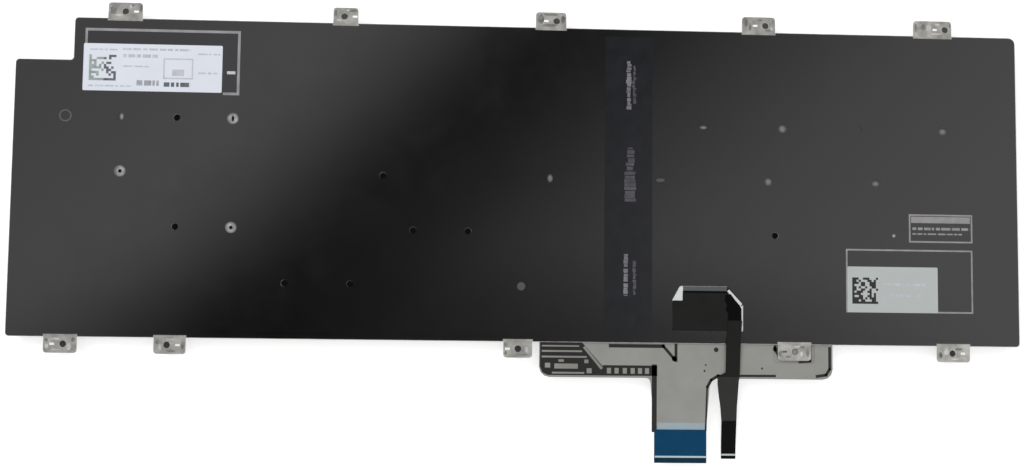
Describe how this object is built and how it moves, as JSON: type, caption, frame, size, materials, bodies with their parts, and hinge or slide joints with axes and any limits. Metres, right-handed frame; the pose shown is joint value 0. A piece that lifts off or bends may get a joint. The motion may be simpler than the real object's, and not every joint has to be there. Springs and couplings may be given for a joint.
{
  "type": "backlit notebook keyboard module with number pad",
  "caption": "Black notebook computer keyboard module with number pad, lying on its keys with the film, labels, screw tabs and ribbon tail up.",
  "frame": {"origin": "on the plane of the key tops, at the middle of the plate", "axes": "+Z out of the back, +Y to the function-row side, +X to the escape-key side"},
  "size_m": [0.344, 0.1537, 0.0054],
  "materials": {
    "bare_steel": "stamped zinc-plated steel, satin",
    "membrane_sheet": "printed grey polyester sheet",
    "blue_stiffener": "blue polyester stiffener",
    "dome_rubber": "milky silicone rubber",
    "link_plastic": "natural white moulded plastic",
    "spring_steel": "bent spring wire",
    "guide_plastic": "clear light guide sheet",
    "white_sheet": "white reflector sheet",
    "black_film": "black polyester film, semi-gloss",
    "flex_black": "black flexible printed circuit",
    "clear_tape": "clear tape over the black film",
    "label_paper": null,
    "keycap_plastic": "black painted keycap, fine matt"
  },
  "bodies": {
    "module": {"base_plate": "bare_steel", "membrane": "membrane_sheet", "tail_stiffener": "blue_stiffener", "rubber_domes": "dome_rubber", "outer_links": "link_plastic", "inner_links": "link_plastic", "stabilizer_wires": "spring_steel", "light_guide": "guide_plastic", "reflector_sheet": "white_sheet", "back_film": "black_film", "led_strip": "flex_black", "backlight_cable": "flex_black", "cable_contact_end": "flex_black", "clear_tape": "clear_tape", "large_label": "label_paper", "small_label": "label_paper", "function_row_caps": "keycap_plastic", "number_pad_caps": "keycap_plastic", "other_caps": "keycap_plastic"},
    "cap_q": {"key_q": "keycap_plastic"},
    "cap_w": {"key_w": "keycap_plastic"},
    "cap_e": {"key_e": "keycap_plastic"},
    "cap_r": {"key_r": "keycap_plastic"},
    "cap_t": {"key_t": "keycap_plastic"},
    "cap_y": {"key_y": "keycap_plastic"},
    "cap_u": {"key_u": "keycap_plastic"},
    "cap_i": {"key_i": "keycap_plastic"},
    "cap_o": {"key_o": "keycap_plastic"},
    "cap_p": {"key_p": "keycap_plastic"},
    "cap_a": {"key_a": "keycap_plastic"},
    "cap_s": {"key_s": "keycap_plastic"},
    "cap_d": {"key_d": "keycap_plastic"},
    "cap_f": {"key_f": "keycap_plastic"},
    "cap_g": {"key_g": "keycap_plastic"},
    "cap_h": {"key_h": "keycap_plastic"},
    "cap_j": {"key_j": "keycap_plastic"},
    "cap_k": {"key_k": "keycap_plastic"},
    "cap_l": {"key_l": "keycap_plastic"},
    "cap_z": {"key_z": "keycap_plastic"},
    "cap_x": {"key_x": "keycap_plastic"},
    "cap_c": {"key_c": "keycap_plastic"},
    "cap_v": {"key_v": "keycap_plastic"},
    "cap_b": {"key_b": "keycap_plastic"},
    "cap_n": {"key_n": "keycap_plastic"},
    "cap_m": {"key_m": "keycap_plastic"},
    "cap_1": {"key_1": "keycap_plastic"},
    "cap_2": {"key_2": "keycap_plastic"},
    "cap_3": {"key_3": "keycap_plastic"},
    "cap_4": {"key_4": "keycap_plastic"},
    "cap_5": {"key_5": "keycap_plastic"},
    "cap_6": {"key_6": "keycap_plastic"},
    "cap_7": {"key_7": "keycap_plastic"},
    "cap_8": {"key_8": "keycap_plastic"},
    "cap_9": {"key_9": "keycap_plastic"},
    "cap_0": {"key_0": "keycap_plastic"},
    "cap_space": {"key_space": "keycap_plastic"},
    "cap_enter": {"key_enter": "keycap_plastic"},
    "cap_backspace": {"key_backspace": "keycap_plastic"},
    "cap_left_shift": {"key_left_shift": "keycap_plastic"},
    "cap_right_shift": {"key_right_shift": "keycap_plastic"}
  },
  "joints": [
    {"name": "press_q", "type": "slide", "parent": "module", "child": "cap_q", "axis": [0, 0, 1], "range_m": [0, 0.0016], "stiffness_N_per_m": 350, "deforming": ["rubber_domes", "outer_links", "inner_links", "stabilizer_wires"]},
    {"name": "press_w", "type": "slide", "parent": "module", "child": "cap_w", "axis": [0, 0, 1], "range_m": [0, 0.0016], "stiffness_N_per_m": 350, "deforming": ["rubber_domes", "outer_links", "inner_links", "stabilizer_wires"]},
    {"name": "press_e", "type": "slide", "parent": "module", "child": "cap_e", "axis": [0, 0, 1], "range_m": [0, 0.0016], "stiffness_N_per_m": 350, "deforming": ["rubber_domes", "outer_links", "inner_links", "stabilizer_wires"]},
    {"name": "press_r", "type": "slide", "parent": "module", "child": "cap_r", "axis": [0, 0, 1], "range_m": [0, 0.0016], "stiffness_N_per_m": 350, "deforming": ["rubber_domes", "outer_links", "inner_links", "stabilizer_wires"]},
    {"name": "press_t", "type": "slide", "parent": "module", "child": "cap_t", "axis": [0, 0, 1], "range_m": [0, 0.0016], "stiffness_N_per_m": 350, "deforming": ["rubber_domes", "outer_links", "inner_links", "stabilizer_wires"]},
    {"name": "press_y", "type": "slide", "parent": "module", "child": "cap_y", "axis": [0, 0, 1], "range_m": [0, 0.0016], "stiffness_N_per_m": 350, "deforming": ["rubber_domes", "outer_links", "inner_links", "stabilizer_wires"]},
    {"name": "press_u", "type": "slide", "parent": "module", "child": "cap_u", "axis": [0, 0, 1], "range_m": [0, 0.0016], "stiffness_N_per_m": 350, "deforming": ["rubber_domes", "outer_links", "inner_links", "stabilizer_wires"]},
    {"name": "press_i", "type": "slide", "parent": "module", "child": "cap_i", "axis": [0, 0, 1], "range_m": [0, 0.0016], "stiffness_N_per_m": 350, "deforming": ["rubber_domes", "outer_links", "inner_links", "stabilizer_wires"]},
    {"name": "press_o", "type": "slide", "parent": "module", "child": "cap_o", "axis": [0, 0, 1], "range_m": [0, 0.0016], "stiffness_N_per_m": 350, "deforming": ["rubber_domes", "outer_links", "inner_links", "stabilizer_wires"]},
    {"name": "press_p", "type": "slide", "parent": "module", "child": "cap_p", "axis": [0, 0, 1], "range_m": [0, 0.0016], "stiffness_N_per_m": 350, "deforming": ["rubber_domes", "outer_links", "inner_links", "stabilizer_wires"]},
    {"name": "press_a", "type": "slide", "parent": "module", "child": "cap_a", "axis": [0, 0, 1], "range_m": [0, 0.0016], "stiffness_N_per_m": 350, "deforming": ["rubber_domes", "outer_links", "inner_links", "stabilizer_wires"]},
    {"name": "press_s", "type": "slide", "parent": "module", "child": "cap_s", "axis": [0, 0, 1], "range_m": [0, 0.0016], "stiffness_N_per_m": 350, "deforming": ["rubber_domes", "outer_links", "inner_links", "stabilizer_wires"]},
    {"name": "press_d", "type": "slide", "parent": "module", "child": "cap_d", "axis": [0, 0, 1], "range_m": [0, 0.0016], "stiffness_N_per_m": 350, "deforming": ["rubber_domes", "outer_links", "inner_links", "stabilizer_wires"]},
    {"name": "press_f", "type": "slide", "parent": "module", "child": "cap_f", "axis": [0, 0, 1], "range_m": [0, 0.0016], "stiffness_N_per_m": 350, "deforming": ["rubber_domes", "outer_links", "inner_links", "stabilizer_wires"]},
    {"name": "press_g", "type": "slide", "parent": "module", "child": "cap_g", "axis": [0, 0, 1], "range_m": [0, 0.0016], "stiffness_N_per_m": 350, "deforming": ["rubber_domes", "outer_links", "inner_links", "stabilizer_wires"]},
    {"name": "press_h", "type": "slide", "parent": "module", "child": "cap_h", "axis": [0, 0, 1], "range_m": [0, 0.0016], "stiffness_N_per_m": 350, "deforming": ["rubber_domes", "outer_links", "inner_links", "stabilizer_wires"]},
    {"name": "press_j", "type": "slide", "parent": "module", "child": "cap_j", "axis": [0, 0, 1], "range_m": [0, 0.0016], "stiffness_N_per_m": 350, "deforming": ["rubber_domes", "outer_links", "inner_links", "stabilizer_wires"]},
    {"name": "press_k", "type": "slide", "parent": "module", "child": "cap_k", "axis": [0, 0, 1], "range_m": [0, 0.0016], "stiffness_N_per_m": 350, "deforming": ["rubber_domes", "outer_links", "inner_links", "stabilizer_wires"]},
    {"name": "press_l", "type": "slide", "parent": "module", "child": "cap_l", "axis": [0, 0, 1], "range_m": [0, 0.0016], "stiffness_N_per_m": 350, "deforming": ["rubber_domes", "outer_links", "inner_links", "stabilizer_wires"]},
    {"name": "press_z", "type": "slide", "parent": "module", "child": "cap_z", "axis": [0, 0, 1], "range_m": [0, 0.0016], "stiffness_N_per_m": 350, "deforming": ["rubber_domes", "outer_links", "inner_links", "stabilizer_wires"]},
    {"name": "press_x", "type": "slide", "parent": "module", "child": "cap_x", "axis": [0, 0, 1], "range_m": [0, 0.0016], "stiffness_N_per_m": 350, "deforming": ["rubber_domes", "outer_links", "inner_links", "stabilizer_wires"]},
    {"name": "press_c", "type": "slide", "parent": "module", "child": "cap_c", "axis": [0, 0, 1], "range_m": [0, 0.0016], "stiffness_N_per_m": 350, "deforming": ["rubber_domes", "outer_links", "inner_links", "stabilizer_wires"]},
    {"name": "press_v", "type": "slide", "parent": "module", "child": "cap_v", "axis": [0, 0, 1], "range_m": [0, 0.0016], "stiffness_N_per_m": 350, "deforming": ["rubber_domes", "outer_links", "inner_links", "stabilizer_wires"]},
    {"name": "press_b", "type": "slide", "parent": "module", "child": "cap_b", "axis": [0, 0, 1], "range_m": [0, 0.0016], "stiffness_N_per_m": 350, "deforming": ["rubber_domes", "outer_links", "inner_links", "stabilizer_wires"]},
    {"name": "press_n", "type": "slide", "parent": "module", "child": "cap_n", "axis": [0, 0, 1], "range_m": [0, 0.0016], "stiffness_N_per_m": 350, "deforming": ["rubber_domes", "outer_links", "inner_links", "stabilizer_wires"]},
    {"name": "press_m", "type": "slide", "parent": "module", "child": "cap_m", "axis": [0, 0, 1], "range_m": [0, 0.0016], "stiffness_N_per_m": 350, "deforming": ["rubber_domes", "outer_links", "inner_links", "stabilizer_wires"]},
    {"name": "press_1", "type": "slide", "parent": "module", "child": "cap_1", "axis": [0, 0, 1], "range_m": [0, 0.0016], "stiffness_N_per_m": 350, "deforming": ["rubber_domes", "outer_links", "inner_links", "stabilizer_wires"]},
    {"name": "press_2", "type": "slide", "parent": "module", "child": "cap_2", "axis": [0, 0, 1], "range_m": [0, 0.0016], "stiffness_N_per_m": 350, "deforming": ["rubber_domes", "outer_links", "inner_links", "stabilizer_wires"]},
    {"name": "press_3", "type": "slide", "parent": "module", "child": "cap_3", "axis": [0, 0, 1], "range_m": [0, 0.0016], "stiffness_N_per_m": 350, "deforming": ["rubber_domes", "outer_links", "inner_links", "stabilizer_wires"]},
    {"name": "press_4", "type": "slide", "parent": "module", "child": "cap_4", "axis": [0, 0, 1], "range_m": [0, 0.0016], "stiffness_N_per_m": 350, "deforming": ["rubber_domes", "outer_links", "inner_links", "stabilizer_wires"]},
    {"name": "press_5", "type": "slide", "parent": "module", "child": "cap_5", "axis": [0, 0, 1], "range_m": [0, 0.0016], "stiffness_N_per_m": 350, "deforming": ["rubber_domes", "outer_links", "inner_links", "stabilizer_wires"]},
    {"name": "press_6", "type": "slide", "parent": "module", "child": "cap_6", "axis": [0, 0, 1], "range_m": [0, 0.0016], "stiffness_N_per_m": 350, "deforming": ["rubber_domes", "outer_links", "inner_links", "stabilizer_wires"]},
    {"name": "press_7", "type": "slide", "parent": "module", "child": "cap_7", "axis": [0, 0, 1], "range_m": [0, 0.0016], "stiffness_N_per_m": 350, "deforming": ["rubber_domes", "outer_links", "inner_links", "stabilizer_wires"]},
    {"name": "press_8", "type": "slide", "parent": "module", "child": "cap_8", "axis": [0, 0, 1], "range_m": [0, 0.0016], "stiffness_N_per_m": 350, "deforming": ["rubber_domes", "outer_links", "inner_links", "stabilizer_wires"]},
    {"name": "press_9", "type": "slide", "parent": "module", "child": "cap_9", "axis": [0, 0, 1], "range_m": [0, 0.0016], "stiffness_N_per_m": 350, "deforming": ["rubber_domes", "outer_links", "inner_links", "stabilizer_wires"]},
    {"name": "press_0", "type": "slide", "parent": "module", "child": "cap_0", "axis": [0, 0, 1], "range_m": [0, 0.0016], "stiffness_N_per_m": 350, "deforming": ["rubber_domes", "outer_links", "inner_links", "stabilizer_wires"]},
    {"name": "press_space", "type": "slide", "parent": "module", "child": "cap_space", "axis": [0, 0, 1], "range_m": [0, 0.0016], "stiffness_N_per_m": 350, "deforming": ["rubber_domes", "outer_links", "inner_links", "stabilizer_wires"]},
    {"name": "press_enter", "type": "slide", "parent": "module", "child": "cap_enter", "axis": [0, 0, 1], "range_m": [0, 0.0016], "stiffness_N_per_m": 350, "deforming": ["rubber_domes", "outer_links", "inner_links", "stabilizer_wires"]},
    {"name": "press_backspace", "type": "slide", "parent": "module", "child": "cap_backspace", "axis": [0, 0, 1], "range_m": [0, 0.0016], "stiffness_N_per_m": 350, "deforming": ["rubber_domes", "outer_links", "inner_links", "stabilizer_wires"]},
    {"name": "press_left_shift", "type": "slide", "parent": "module", "child": "cap_left_shift", "axis": [0, 0, 1], "range_m": [0, 0.0016], "stiffness_N_per_m": 350, "deforming": ["rubber_domes", "outer_links", "inner_links", "stabilizer_wires"]},
    {"name": "press_right_shift", "type": "slide", "parent": "module", "child": "cap_right_shift", "axis": [0, 0, 1], "range_m": [0, 0.0016], "stiffness_N_per_m": 350, "deforming": ["rubber_domes", "outer_links", "inner_links", "stabilizer_wires"]}
  ]
}
